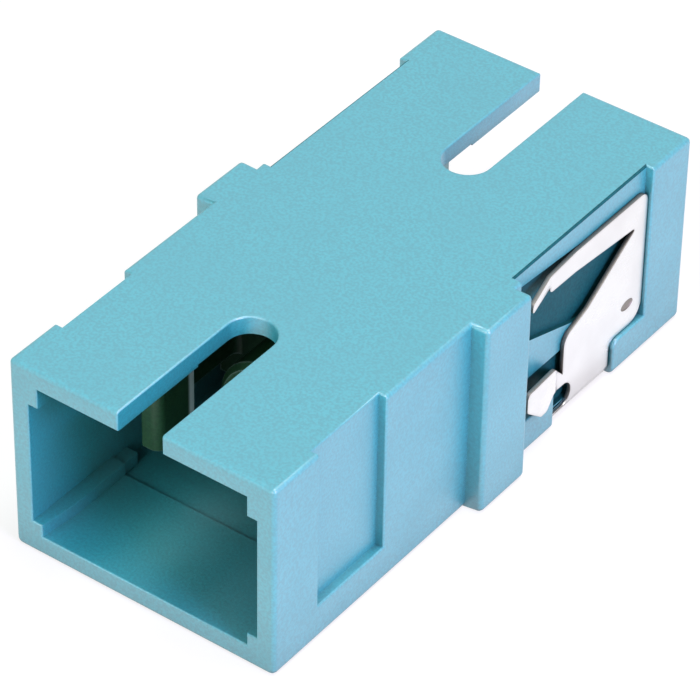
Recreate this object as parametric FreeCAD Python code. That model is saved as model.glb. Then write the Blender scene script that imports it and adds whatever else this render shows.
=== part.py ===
"""Flangeless SC simplex fibre adapter: housing, two latch frames, split sleeve and panel clip.

Frame, in millimetres: the origin is the middle of the split sleeve on the optical axis, +X is
to the right, +Y runs along the optical axis from the front port to the rear port, and +Z is up,
towards the keyways.
"""
import FreeCAD, Part

import math
import os

# Housing, outside. The end bands are the full-width stretches beside the two port faces.
BODY_WIDTH = 12.8
BODY_LENGTH = 27.9
BODY_HEIGHT = 9.3
BOTTOM_EDGE_RADIUS = 0.3
EDGE_RADIUS = 0.12
COLLAR_WIDTH = 14.4
COLLAR_THICKNESS = 3.0
KEYWAY_WIDTH = 2.15
KEYWAY_LENGTH = 7.85
RECESS_DEPTH = 0.39
RECESS_SILL = 1.7
END_BAND = 2.75
FRONT_RECESS_LENGTH = 4.2
COLLAR_BAND = 0.4

# Reliefs in the floors of the clip's recesses, into which its springs and fingers flex.
RELIEF_DEPTH = 0.22
RELIEF_UNDERCUT = 0.6
RELIEF_OVERRUN = 0.35
SPRING_RELIEF_RISE = 0.35
SPRING_RELIEF_HEIGHT = 2.8
FINGER_RELIEF_HEIGHT = 1.68
NOTCH_RELIEF_RISE = 0.6
NOTCH_RELIEF_MARGIN = 0.2

# Housing, inside. The mouth of each port has corner rails, and a web parts the two ports.
PORT_WIDTH = 11.04
PORT_HEIGHT = 7.44
MOUTH_DEPTH = 4.9
RAIL_LENGTH = 5.8
UPPER_RAIL_WIDTH = 0.47
UPPER_RAIL_HEIGHT = 0.95
LOWER_RAIL_WIDTH = 0.67
LOWER_RAIL_HEIGHT = 0.6
RAIL_LEAD_WIDTH = 0.2
RAIL_LEAD_LENGTH = 1.8
CHAMBER_RELIEF = 0.1
WEB_THICKNESS = 2.0
WEB_OPENING_WIDTH = 8.0
WEB_OPENING_HEIGHT = 5.0
WEB_CORNER_RADIUS = 0.5

# Split sleeve, as it stands open around a ferrule.
FERRULE_DIAMETER = 2.5
FERRULE_CLEARANCE = 0.01
SLEEVE_WALL = 0.35
SLEEVE_LENGTH = 11.4
SLEEVE_SLIT = 0.4
SLEEVE_CHAMFER = 0.12

# Latch frames: plate on the web, spigot in its opening, sleeve barrel and two latch arms.
FRAME_CLEARANCE = 0.12
SPIGOT_CLEARANCE = 0.05
PLATE_THICKNESS = 1.2
SLEEVE_CLEARANCE = 0.05
BARREL_WALL = 0.65
BARREL_LIP = 0.55
LIP_OVERLAP = 0.15
LIP_CHAMFER = 0.25
LATCH_GAP = 5.96
LATCH_LIFT = 1.62
ARM_THICKNESS = 0.7
ARM_HEIGHT = 3.3
ARM_ROOT_RADIUS = 0.4
CATCH_DEPTH = 7.06
NOSE_DEPTH = 4.8
NOSE_WIDTH = 0.89
NOSE_TAPER_LENGTH = 2.25
NOSE_RADIUS = 0.45
NOSE_EDGE_RADIUS = 0.15

# Panel clip: one strip of spring sheet, folded under the housing and up both sides.
SHEET_THICKNESS = 0.2
SHEET_BEND_RADIUS = 0.3
SHEET_CLEARANCE = 0.02
SHEET_TOP_GAP = 1.1
SHEET_REAR_GAP = 0.05
SHEET_SILL_GAP = 0.05
SHEET_CORNER_RADIUS = 0.5
SHEET_FOOT_RADIUS = 0.9
STRAP_INSET = 0.05
STRAP_START = 3.25
STRAP_WIDTH = 4.1
STRAP_SIDE_GAP = 0.1
STEM_RADIUS = 0.4
STEM_STEP = 0.7
SLOT_INSET = 0.75
SLOT_DROP = 1.46
SLOT_RADIUS = 0.1
SHOULDER_LENGTH = 1.65
SHOULDER_DROP = 3.55
SHOULDER_FALL = 0.6
SHOULDER_RADIUS = 0.6
NOTCH_LENGTH = 1.35
NOTCH_HEIGHT = 1.13
NOTCH_RISE = 0.5
NOTCH_LIP_RADIUS = 0.15

# Upper spring of each clip side: a narrow strip with a lifted tip behind the collar.
SPRING_WIDTH = 0.85
SPRING_ROOT_WIDTH = 1.05
SPRING_RAMP = 2.0
SPRING_LIFT = 0.12
TIP_GAP = 0.65
TIP_LENGTH = 1.85
TIP_WIDTH = 0.45
TIP_DROP = 0.1
TIP_LIFT = 0.45
TIP_RADIUS = 0.2

# Lower finger of each clip side: it steps out over the housing's side and runs to the collar,
# and from a narrow throat its foot reaches down to the sill. Heel and ball are at the foot's sole.
FINGER_ROOT_HEIGHT = 0.62
FINGER_ROOT_LENGTH = 0.4
FINGER_RAMP = 0.7
FINGER_CLEARANCE = 0.05
FINGER_FLARE = 0.1
FINGER_GAP = 0.7
FINGER_HEIGHT = 1.82
FINGER_SHOULDER = 1.2
FINGER_THROAT_REACH = 1.1
FINGER_THROAT_RISE = 0.72
FINGER_HEEL = 1.55
FINGER_BALL = 1.1
FINGER_TOE_RISE = 0.92
FINGER_RADIUS = 0.25

# Shallow dimple near the rear edge of each clip side.
DIMPLE_LENGTH = 0.85
DIMPLE_WIDTH = 0.45
DIMPLE_DEPTH = 0.08
DIMPLE_INSET = 1.1
DIMPLE_RISE = 1.2

# Planes that several pieces share.
SIDE = BODY_WIDTH / 2
END = BODY_LENGTH / 2
TOP = BODY_HEIGHT / 2
BOTTOM = -TOP
COLLAR_REAR = COLLAR_THICKNESS / 2
RECESS_FLOOR = SIDE - RECESS_DEPTH
SILL = BOTTOM + RECESS_SILL
WEB_FACE = WEB_THICKNESS / 2
PLATE_FACE = WEB_FACE + PLATE_THICKNESS
SLEEVE_BORE_RADIUS = FERRULE_DIAMETER / 2 + FERRULE_CLEARANCE
SLEEVE_RADIUS = SLEEVE_BORE_RADIUS + SLEEVE_WALL
BARREL_SEAT = SLEEVE_LENGTH / 2 + SLEEVE_CLEARANCE
BARREL_REACH = BARREL_SEAT + BARREL_LIP
STRAP_FRONT = COLLAR_REAR + STRAP_START
STRAP_REAR = STRAP_FRONT + STRAP_WIDTH
STRAP_FACE = BOTTOM + STRAP_INSET + SHEET_THICKNESS
SHEET_FACE = RECESS_FLOOR + SHEET_CLEARANCE
SHEET_REAR = END - END_BAND - SHEET_REAR_GAP
SHEET_TOP = TOP - SHEET_TOP_GAP
SHEET_FOOT = SILL + SHEET_SILL_GAP
STEM_FRONT = STRAP_FRONT + STEM_STEP
TIP_END = COLLAR_REAR + TIP_GAP
TIP_START = TIP_END + TIP_LENGTH
SPRING_ROOT = TIP_START + SPRING_RAMP
NOTCH_TOP = BOTTOM + NOTCH_RISE + NOTCH_HEIGHT
OVERRUN = 2.0


def level(a, b):
    """Place a point of an outline seen from above."""
    return FreeCAD.Vector(a, b, 0)


def facing(a, b):
    """Place a point of an outline seen along the optical axis."""
    return FreeCAD.Vector(a, 0, b)


def sideways(a, b):
    """Place a point of an outline seen from the side."""
    return FreeCAD.Vector(0, a, b)


NORMALS = {
    level: FreeCAD.Vector(0, 0, 1),
    facing: FreeCAD.Vector(0, 1, 0),
    sideways: FreeCAD.Vector(1, 0, 0),
}


def rounded_wire(corners, place):
    """Closed outline of corners (a, b, radius); a corner of radius 0 stays sharp."""
    points = [place(a, b) for a, b, _ in corners]
    arcs = []
    for index, (_, _, radius) in enumerate(corners):
        here = points[index]
        back = (points[index - 1] - here).normalize()
        ahead = (points[(index + 1) % len(points)] - here).normalize()
        half_angle = back.getAngle(ahead) / 2
        inwards = (back + ahead).normalize()
        start = here + back * (radius / math.tan(half_angle))
        middle = here + inwards * (radius / math.sin(half_angle) - radius)
        end = here + ahead * (radius / math.tan(half_angle))
        arcs.append((start, middle, end))
    edges = []
    for index, (start, middle, end) in enumerate(arcs):
        following = arcs[(index + 1) % len(arcs)][0]
        if corners[index][2] > 0:
            edges.append(Part.Arc(start, middle, end).toShape())
        if end.distanceToPoint(following) > 1e-6:
            edges.append(Part.makeLine(end, following))
    return Part.Wire(edges)


def prism(corners, place, start, end):
    """Solid of a rounded outline, run from start to end square to the outline."""
    face = Part.Face(rounded_wire(corners, place))
    face.translate(NORMALS[place] * start)
    return face.extrude(NORMALS[place] * (end - start))


def rectangle(half_width, low, high, radius):
    """Corners of a rectangle centred across its first axis."""
    return [
        (-half_width, low, radius),
        (half_width, low, radius),
        (half_width, high, radius),
        (-half_width, high, radius),
    ]


def block(x_range, y_range, z_range):
    """Box between two limits along each axis."""
    sizes = [high - low for low, high in (x_range, y_range, z_range)]
    return Part.makeBox(*sizes, FreeCAD.Vector(x_range[0], y_range[0], z_range[0]))


def rod(radius, y_start, y_end):
    """Cylinder on the optical axis."""
    start = FreeCAD.Vector(0, y_start, 0)
    return Part.makeCylinder(radius, y_end - y_start, start, NORMALS[facing])


def mirrored(shape):
    """Copy mirrored to the other side of the optical axis."""
    return shape.mirror(FreeCAD.Vector(0, 0, 0), NORMALS[sideways])


def turned(shape):
    """Copy turned half round about the vertical axis, for the rear port."""
    copy = shape.copy()
    copy.rotate(FreeCAD.Vector(0, 0, 0), NORMALS[level], 180)
    return copy


def is_low_long_edge(edge):
    """Whether an edge of a box runs along the optical axis at the housing's bottom."""
    along = edge.tangentAt(edge.FirstParameter)
    low = edge.CenterOfMass.z < BOTTOM + 2 * BOTTOM_EDGE_RADIUS
    return isinstance(edge.Curve, Part.Line) and abs(along.y) > 0.99 and low


def softened_block(width, length):
    """Full-height block about the origin with rounded edges, the long bottom ones the most."""
    box = block((-width / 2, width / 2), (-length / 2, length / 2), (BOTTOM, TOP))
    box = box.makeFillet(BOTTOM_EDGE_RADIUS, [edge for edge in box.Edges if is_low_long_edge(edge)])
    return box.makeFillet(EDGE_RADIUS, [edge for edge in box.Edges if not is_low_long_edge(edge)])


def port_outline(inset):
    """Section of a port with its four corner rails, drawn in by inset all round."""
    wide = PORT_WIDTH / 2 - inset
    high = PORT_HEIGHT / 2 - inset
    upper = high - UPPER_RAIL_HEIGHT
    lower = -high + LOWER_RAIL_HEIGHT
    upper_narrow = wide - UPPER_RAIL_WIDTH
    lower_narrow = wide - LOWER_RAIL_WIDTH
    right = [(lower_narrow, -high, 0), (lower_narrow, lower, 0), (wide, lower, 0)]
    right += [(wide, upper, 0), (upper_narrow, upper, 0), (upper_narrow, high, 0)]
    left = [(-across, up, radius) for across, up, radius in reversed(right)]
    return right + left


def rail_lead_in():
    """Wedge off the front end of the right-hand lower rail, so that a plug finds its way in."""
    face = PORT_WIDTH / 2 - LOWER_RAIL_WIDTH
    outline = [
        (face - RAIL_LEAD_WIDTH, -END - OVERRUN, 0),
        (face + RAIL_LEAD_WIDTH, -END - OVERRUN, 0),
        (face + RAIL_LEAD_WIDTH, -END, 0),
        (face, RAIL_LEAD_LENGTH - END, 0),
        (face - RAIL_LEAD_WIDTH, RAIL_LEAD_LENGTH - END, 0),
    ]
    floor = -PORT_HEIGHT / 2
    return prism(outline, level, floor, floor + LOWER_RAIL_HEIGHT)


def front_port():
    """Space inside the front port, from outside the face to the web."""
    mouth_end = MOUTH_DEPTH - END
    rail_end = RAIL_LENGTH - END
    mouth = prism(port_outline(0), facing, -END - OVERRUN, mouth_end)
    high = PORT_HEIGHT / 2 + CHAMBER_RELIEF
    chamber = prism(rectangle(PORT_WIDTH / 2, -high, high, 0), facing, mouth_end, -WEB_FACE)
    rails = block((-PORT_WIDTH, PORT_WIDTH), (mouth_end, rail_end), (-PORT_HEIGHT, PORT_HEIGHT))
    rails = rails.cut(prism(port_outline(-CHAMBER_RELIEF), facing, mouth_end, rail_end))
    lead_in = rail_lead_in()
    return mouth.fuse([chamber.cut(rails), lead_in, mirrored(lead_in)])


def front_keyway():
    """Round-ended slot through the top wall, open at the front face."""
    half = KEYWAY_WIDTH / 2
    tip = KEYWAY_LENGTH - END
    outline = [(-half, -END - OVERRUN, 0), (half, -END - OVERRUN, 0), (half, tip, half), (-half, tip, half)]
    return prism(outline, level, 0, TOP + OVERRUN)


def web_opening(inset):
    """Outline of the window in the web, drawn in by inset all round."""
    high = WEB_OPENING_HEIGHT / 2 - inset
    return rectangle(WEB_OPENING_WIDTH / 2 - inset, -high, high, WEB_CORNER_RADIUS - inset)


def side_recess(y_start, y_end):
    """Shallow recess in the right side, from the sill up through the top."""
    return block((RECESS_FLOOR, COLLAR_WIDTH), (y_start, y_end), (SILL, TOP + OVERRUN))


def clip_reliefs():
    """Pockets in the floor of the right-hand recess, behind the spring and behind the finger.

    They run in under the clip's plate, so that their edges there stay covered. The finger's one
    goes down into the strap's channel, behind the notch.
    """
    floor = RECESS_FLOOR - RELIEF_DEPTH
    y_start = COLLAR_REAR + COLLAR_BAND
    y_shoulder = STEM_FRONT + SHOULDER_LENGTH
    y_end = SHEET_REAR - SLOT_INSET + RELIEF_OVERRUN
    high = SHEET_TOP + SPRING_RELIEF_RISE
    outline = [
        (y_start, high, 0),
        (y_start, high - SPRING_RELIEF_HEIGHT, 0),
        (y_shoulder, SHEET_TOP - SHOULDER_DROP - RELIEF_UNDERCUT, 0),
        (y_end, SHEET_TOP - SLOT_DROP - RELIEF_UNDERCUT, 0),
        (y_end, SHEET_TOP - RELIEF_OVERRUN, 0),
    ]
    behind_spring = prism(outline, sideways, floor, COLLAR_WIDTH)
    y_end = STRAP_FRONT + NOTCH_LENGTH + NOTCH_RELIEF_MARGIN
    low = BOTTOM + NOTCH_RELIEF_RISE
    behind_finger = block((floor, COLLAR_WIDTH), (y_start, y_end), (SILL, SILL + FINGER_RELIEF_HEIGHT))
    behind_notch = block((floor, RECESS_FLOOR), (STRAP_FRONT - STRAP_SIDE_GAP, y_end), (low, SILL))
    return behind_spring.fuse([behind_finger, behind_notch])


def strap_channel():
    """Channel for the clip's strap, under the housing and up both sides to the recesses."""
    y_start = STRAP_FRONT - STRAP_SIDE_GAP
    y_end = STRAP_REAR + STRAP_SIDE_GAP
    side_view = [
        (y_start, BOTTOM - OVERRUN, 0),
        (y_end, BOTTOM - OVERRUN, 0),
        (y_end, SILL, STEM_RADIUS),
        (y_end + OVERRUN, SILL, 0),
        (y_end + OVERRUN, SHEET_FOOT, 0),
        (y_start, SHEET_FOOT, 0),
    ]
    radius = SHEET_BEND_RADIUS + SHEET_CLEARANCE
    kept = [(-RECESS_FLOOR, STRAP_FACE, radius), (RECESS_FLOOR, STRAP_FACE, radius)]
    kept += [(RECESS_FLOOR, TOP, 0), (-RECESS_FLOOR, TOP, 0)]
    core = prism(kept, facing, y_start - OVERRUN, y_end + 2 * OVERRUN)
    return prism(side_view, sideways, -COLLAR_WIDTH, COLLAR_WIDTH).cut(core)


def outer_housing():
    """Moulded housing: body, collar, two ports, keyways, side recesses and strap channel."""
    housing = softened_block(BODY_WIDTH, BODY_LENGTH)
    housing = housing.fuse(softened_block(COLLAR_WIDTH, COLLAR_THICKNESS))
    port = front_port()
    keyway = front_keyway()
    recess_start = END_BAND - END
    front_recess = side_recess(recess_start, recess_start + FRONT_RECESS_LENGTH)
    clip_recess = side_recess(COLLAR_REAR + COLLAR_BAND, END - END_BAND)
    cuts = [port, turned(port), keyway, turned(keyway)]
    cuts += [front_recess, mirrored(front_recess), clip_recess, mirrored(clip_recess)]
    reliefs = clip_reliefs()
    cuts += [reliefs, mirrored(reliefs), strap_channel()]
    cuts += [prism(web_opening(0), facing, -PLATE_FACE, PLATE_FACE)]
    return housing.cut(cuts).removeSplitter()


def latch_arm():
    """Right-hand latch arm, from the plate to the hooked nose that tapers in from it."""
    latch = LATCH_GAP / 2
    inner = latch + LATCH_LIFT
    outer = inner + ARM_THICKNESS
    nose = NOSE_DEPTH - END
    catch = CATCH_DEPTH - END
    rooted = -PLATE_FACE + PLATE_THICKNESS / 2
    plan = [
        (outer, rooted, 0),
        (inner - ARM_ROOT_RADIUS, rooted, 0),
        (inner - ARM_ROOT_RADIUS, -PLATE_FACE, 0),
        (inner, -PLATE_FACE, ARM_ROOT_RADIUS),
        (inner, catch, NOSE_EDGE_RADIUS),
        (latch, catch, 0),
        (latch, nose, NOSE_RADIUS),
        (latch + NOSE_WIDTH, nose, NOSE_EDGE_RADIUS),
        (outer, nose + NOSE_TAPER_LENGTH, 0),
    ]
    high = ARM_HEIGHT / 2
    side_view = [
        (rooted, -high, 0),
        (nose, -high, NOSE_EDGE_RADIUS),
        (nose, high, NOSE_EDGE_RADIUS),
        (rooted, high, 0),
    ]
    return prism(plan, level, -high, high).common(prism(side_view, sideways, 0, outer))


def sleeve_barrel():
    """Barrel that holds the front half of the sleeve, without its bore."""
    radius = SLEEVE_RADIUS + SLEEVE_CLEARANCE + BARREL_WALL
    barrel = rod(radius, -BARREL_REACH, -WEB_FACE)
    rim = [edge for edge in barrel.Edges if edge.CenterOfMass.y < -BARREL_REACH + LIP_CHAMFER]
    return barrel.makeChamfer(LIP_CHAMFER, rim)


def sleeve_seat():
    """Space for the front half of the sleeve and for the ferrule that enters it."""
    lip_radius = SLEEVE_RADIUS - LIP_OVERLAP
    seat = rod(SLEEVE_RADIUS + SLEEVE_CLEARANCE, -BARREL_SEAT, OVERRUN)
    entry = rod(lip_radius, -BARREL_REACH - OVERRUN, -BARREL_SEAT + SLEEVE_CLEARANCE)
    start = FreeCAD.Vector(0, -BARREL_REACH, 0)
    lead_in = Part.makeCone(lip_radius + LIP_CHAMFER, lip_radius, LIP_CHAMFER, start, NORMALS[facing])
    return seat.fuse([entry, lead_in])


def front_latch_frame():
    """Moulded latch frame of the front port, seated on the web with its spigot in the window."""
    plate = prism(port_outline(FRAME_CLEARANCE), facing, -PLATE_FACE, -WEB_FACE)
    spigot = prism(web_opening(SPIGOT_CLEARANCE), facing, -WEB_FACE, 0)
    arm = latch_arm()
    frame = plate.fuse([spigot, sleeve_barrel(), arm, mirrored(arm)])
    return frame.cut(sleeve_seat()).removeSplitter()


def split_sleeve():
    """Alignment sleeve with its lengthwise slit, its end edges chamfered inside and out."""
    half = SLEEVE_LENGTH / 2
    tube = rod(SLEEVE_RADIUS, -half, half).cut(rod(SLEEVE_BORE_RADIUS, -half - OVERRUN, half + OVERRUN))
    rims = [edge for edge in tube.Edges if isinstance(edge.Curve, Part.Circle)]
    tube = tube.makeChamfer(SLEEVE_CHAMFER, rims)
    slit = SLEEVE_SLIT / 2
    return tube.cut(block((-slit, slit), (-half - OVERRUN, half + OVERRUN), (0, SLEEVE_RADIUS + OVERRUN)))


def folded_section():
    """Folded sheet before it is trimmed: a strip under the housing and up both sides."""
    outer_face = SHEET_FACE + SHEET_THICKNESS
    inner = [(-SHEET_FACE, STRAP_FACE, SHEET_BEND_RADIUS), (SHEET_FACE, STRAP_FACE, SHEET_BEND_RADIUS)]
    inner += [(SHEET_FACE, TOP + OVERRUN, 0), (-SHEET_FACE, TOP + OVERRUN, 0)]
    outer_radius = SHEET_BEND_RADIUS + SHEET_THICKNESS
    low = STRAP_FACE - SHEET_THICKNESS
    outer = [(-outer_face, low, outer_radius), (outer_face, low, outer_radius)]
    outer += [(outer_face, TOP, 0), (-outer_face, TOP, 0)]
    around = prism(outer, facing, COLLAR_REAR, SHEET_REAR)
    return around.cut(prism(inner, facing, COLLAR_REAR - OVERRUN, SHEET_REAR + OVERRUN))


def side_outline():
    """Side view of the clip without its lifted ends: plate, slot, shoulder, stem, notch and strap."""
    notch_low = BOTTOM + NOTCH_RISE
    notch_end = STRAP_FRONT + NOTCH_LENGTH
    notch_radius = NOTCH_HEIGHT / 2
    shoulder_top = SHEET_TOP - SHOULDER_DROP
    return [
        (SHEET_REAR, SHEET_TOP, SHEET_CORNER_RADIUS),
        (SHEET_REAR, SHEET_FOOT, SHEET_FOOT_RADIUS),
        (STRAP_REAR, SHEET_FOOT, STEM_RADIUS),
        (STRAP_REAR, BOTTOM - OVERRUN, 0),
        (STRAP_FRONT, BOTTOM - OVERRUN, 0),
        (STRAP_FRONT, notch_low, NOTCH_LIP_RADIUS),
        (notch_end, notch_low, notch_radius),
        (notch_end, NOTCH_TOP, notch_radius),
        (STEM_FRONT, NOTCH_TOP, 0),
        (STEM_FRONT, shoulder_top - SHOULDER_FALL, SHOULDER_RADIUS),
        (STEM_FRONT + SHOULDER_LENGTH, shoulder_top, 0),
        (SHEET_REAR - SLOT_INSET, SHEET_TOP - SLOT_DROP, SLOT_RADIUS),
        (SPRING_ROOT, SHEET_TOP - SPRING_ROOT_WIDTH, 0),
        (SPRING_ROOT, SHEET_TOP, 0),
    ]


def lifted_strip(path, outline):
    """Right-hand strip of sheet whose inner face follows a path of (x, y), trimmed to an outline."""
    inner = [(x, y, 0) for x, y in path]
    outer = [(x + SHEET_THICKNESS, y, 0) for x, y in reversed(path)]
    sheet = prism(inner + outer, level, BOTTOM, TOP)
    return sheet.common(prism(outline, sideways, 0, COLLAR_WIDTH))


def upper_spring():
    """Spring strip that runs forward to a lifted tip behind the collar."""
    lifted = SHEET_FACE + SPRING_LIFT
    path = [(SHEET_FACE, SPRING_ROOT), (lifted, TIP_START), (lifted + TIP_LIFT, TIP_END)]
    tip_top = SHEET_TOP - TIP_DROP
    tip_low = tip_top - TIP_WIDTH
    outline = [
        (SPRING_ROOT, SHEET_TOP, 0),
        (SPRING_ROOT, SHEET_TOP - SPRING_ROOT_WIDTH, 0),
        (TIP_START, SHEET_TOP - SPRING_WIDTH, TIP_RADIUS),
        (TIP_START, tip_low, TIP_RADIUS / 2),
        (TIP_END, tip_low, TIP_RADIUS),
        (TIP_END, tip_top, TIP_RADIUS),
        (TIP_START, SHEET_TOP, 0),
    ]
    return lifted_strip(path, outline)


def lower_finger():
    """Finger that steps out over the housing's side and runs forward to the collar."""
    stepped = SIDE + FINGER_CLEARANCE
    ramp = STEM_FRONT - FINGER_ROOT_LENGTH
    end = COLLAR_REAR + FINGER_GAP
    top = NOTCH_TOP + FINGER_HEIGHT
    path = [(SHEET_FACE, STEM_FRONT), (SHEET_FACE, ramp), (stepped, ramp - FINGER_RAMP)]
    path += [(stepped + FINGER_FLARE, end)]
    outline = [
        (STEM_FRONT, NOTCH_TOP + FINGER_ROOT_HEIGHT, 0),
        (STEM_FRONT, NOTCH_TOP, 0),
        (ramp, NOTCH_TOP, FINGER_RADIUS),
        (STEM_FRONT - FINGER_THROAT_REACH, NOTCH_TOP + FINGER_THROAT_RISE, FINGER_RADIUS),
        (end + FINGER_HEEL, NOTCH_TOP, FINGER_RADIUS),
        (end + FINGER_BALL, NOTCH_TOP, FINGER_RADIUS),
        (end, NOTCH_TOP + FINGER_TOE_RISE, FINGER_RADIUS),
        (end, top, FINGER_RADIUS),
        (STEM_FRONT - FINGER_SHOULDER, top, FINGER_RADIUS),
    ]
    return lifted_strip(path, outline)


def side_dimple():
    """Shallow oblong pressed into the outer face of the right-hand plate."""
    half = DIMPLE_WIDTH / 2
    y_middle = SHEET_REAR - DIMPLE_INSET
    z_middle = SHEET_FOOT + DIMPLE_RISE
    y_start = y_middle - DIMPLE_LENGTH / 2
    y_end = y_middle + DIMPLE_LENGTH / 2
    outline = [
        (y_start, z_middle - half, half),
        (y_end, z_middle - half, half),
        (y_end, z_middle + half, half),
        (y_start, z_middle + half, half),
    ]
    outer_face = SHEET_FACE + SHEET_THICKNESS
    return prism(outline, sideways, outer_face - DIMPLE_DEPTH, outer_face + OVERRUN)


def panel_clip():
    """Folded spring clip: strap, two side plates, their springs, fingers and dimples."""
    clip = folded_section().common(prism(side_outline(), sideways, -COLLAR_WIDTH, COLLAR_WIDTH))
    spring = upper_spring()
    finger = lower_finger()
    dimple = side_dimple()
    clip = clip.fuse([spring, mirrored(spring), finger, mirrored(finger)]).removeSplitter()
    return clip.cut([dimple, mirrored(dimple)])


def main():
    """Build each piece and write it as its own STEP file."""
    os.makedirs("parts", exist_ok=True)
    front_frame = front_latch_frame()
    pieces = {
        "outer_housing": outer_housing(),
        "front_latch_frame": front_frame,
        "rear_latch_frame": turned(front_frame),
        "split_sleeve": split_sleeve(),
        "panel_clip": panel_clip(),
    }
    for name, shape in pieces.items():
        shape.exportStep(f"parts/{name}.step")
        print(name, "solids", len(shape.Solids), "valid", shape.isValid(), "volume", round(shape.Volume, 3))


if __name__ == "__main__":
    main()
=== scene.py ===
"""Looks of the flangeless SC fibre adapter: moulded housing, latch frames, sleeve and panel clip.

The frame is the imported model's own, in metres: +X to the right, +Y from the front port to the rear
port, +Z up towards the keyways. Shapes are written in millimetres, and the shaping helpers turn them
into metres. Finishes and the studio are written in metres, as millimetres times MM.
"""

import logging
import math
from collections.abc import Callable
from dataclasses import dataclass
from enum import Enum

import bmesh
import bpy
from mathutils import Matrix, Vector

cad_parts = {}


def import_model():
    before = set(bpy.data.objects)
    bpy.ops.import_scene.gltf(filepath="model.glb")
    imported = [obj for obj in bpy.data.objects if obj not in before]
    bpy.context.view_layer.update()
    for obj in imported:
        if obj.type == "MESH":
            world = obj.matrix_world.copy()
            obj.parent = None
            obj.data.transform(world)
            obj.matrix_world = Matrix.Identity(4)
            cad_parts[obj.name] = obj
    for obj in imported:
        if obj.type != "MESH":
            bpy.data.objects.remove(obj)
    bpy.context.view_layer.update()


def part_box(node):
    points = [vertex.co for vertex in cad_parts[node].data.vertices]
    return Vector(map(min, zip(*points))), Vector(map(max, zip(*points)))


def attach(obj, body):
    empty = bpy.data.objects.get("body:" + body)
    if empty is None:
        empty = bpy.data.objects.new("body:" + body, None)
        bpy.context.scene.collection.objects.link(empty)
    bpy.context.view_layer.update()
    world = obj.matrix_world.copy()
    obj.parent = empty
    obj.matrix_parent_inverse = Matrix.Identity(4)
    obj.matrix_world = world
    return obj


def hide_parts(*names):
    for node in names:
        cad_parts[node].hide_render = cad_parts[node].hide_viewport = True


log = logging.getLogger("adapter")

MM = 0.001
BODY = "root"

# Shaping: WELD is in metres, the other lengths are in millimetres and the angles in degrees.
WELD = 1e-6
SNAP_DIGITS = 8
OVERLAP = 0.05
SPARE = 1.0
NEAR = 0.01
SKIN = 0.008
ROUND_STEP = 10.0
LEVEL_ANGLE = 0.5
SHARP_ANGLE = 30.0
SMOOTH_ANGLE = 35.0

# Shares of a face's unit normal that lie along an axis.
SQUARE = 0.99
MOSTLY = 0.8
HALF_TURNED = 0.5
UPRIGHT = 0.1
TILTED = 0.02

# Clearances in millimetres: clip to recess floor, clip to sill, housing to studio floor.
CLIP_GAP = 0.02
FOOT_GAP = 0.05
FLOOR_GAP = 0.02

Piece = bpy.types.Object
Socket = bpy.types.NodeSocket
Pair = tuple[float, float]
Corner = tuple[float, float, float]
Rgb = tuple[float, float, float]


def linear(red: int, green: int, blue: int) -> Rgb:
    """Turn a display colour into the linear one that a shader socket takes.

    Args:
        red: Display red, 0 to 255.
        green: Display green, 0 to 255.
        blue: Display blue, 0 to 255.

    Returns:
        The same colour in linear light.
    """
    shares = (value / 255 for value in (red, green, blue))
    return tuple(v / 12.92 if v <= 0.04045 else ((v + 0.055) / 1.055) ** 2.4 for v in shares)


class Wiring:
    """Adds nodes to one tree and joins them, in the order that they are used."""

    def __init__(self, tree: bpy.types.NodeTree) -> None:
        """Keep the tree and empty it."""
        self.tree = tree
        self.tree.nodes.clear()

    def add(self, kind: str, settings: dict | None = None, **inputs: object) -> bpy.types.Node:
        """Add a node, set its properties, and join or fill its inputs.

        Args:
            kind: Node type, without the leading "ShaderNode" or "Node".
            settings: Properties of the node itself.
            inputs: Input name, with _ for a space, to a socket to join or a value to set.

        Returns:
            The new node.
        """
        prefix = "Node" if kind in ("GroupInput", "GroupOutput") else "ShaderNode"
        node = self.tree.nodes.new(prefix + kind)
        for name, value in (settings or {}).items():
            setattr(node, name, value)
        for name, value in inputs.items():
            socket = self.input(node, name.replace("_", " "))
            if isinstance(value, Socket):
                self.tree.links.new(value, socket)
            else:
                socket.default_value = (*value, 1.0) if socket.type == "RGBA" else value
        return node

    @staticmethod
    def input(node: bpy.types.Node, name: str) -> Socket:
        """Find an enabled input by its name, or by its number in a name such as "2"."""
        if name.isdigit():
            return node.inputs[int(name)]
        return next(socket for socket in node.inputs if socket.name == name and socket.enabled)

    def maths(self, operation: str, first: object, second: object = 0.0) -> Socket:
        """Output of a Math node on two sockets or numbers."""
        node = self.add("Math", {"operation": operation}, **{"0": first, "1": second})
        return node.outputs[0]

    def times(self, first: object, second: object) -> Socket:
        """Product of two sockets or numbers."""
        return self.maths("MULTIPLY", first, second)

    def vector(self, operation: str, first: object, second: object) -> bpy.types.Node:
        """Vector Math node on two sockets or vectors."""
        return self.add("VectorMath", {"operation": operation}, **{"0": first, "1": second})

    def band(self, value: object, low: float, high: float) -> Socket:
        """Smooth step from 0 at low to 1 at high."""
        settings = {"interpolation_type": "SMOOTHSTEP"}
        node = self.add("MapRange", settings, Value=value, From_Min=low, From_Max=high)
        return node.outputs["Result"]

    def mix(self, share: object, first: object, second: object, how: str = "MIX") -> Socket:
        """Colour mixed from two by a share, or blended in another way."""
        settings = {"data_type": "RGBA", "blend_type": how}
        node = self.add("Mix", settings, Factor=share, A=first, B=second)
        return next(socket for socket in node.outputs if socket.enabled)


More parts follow.
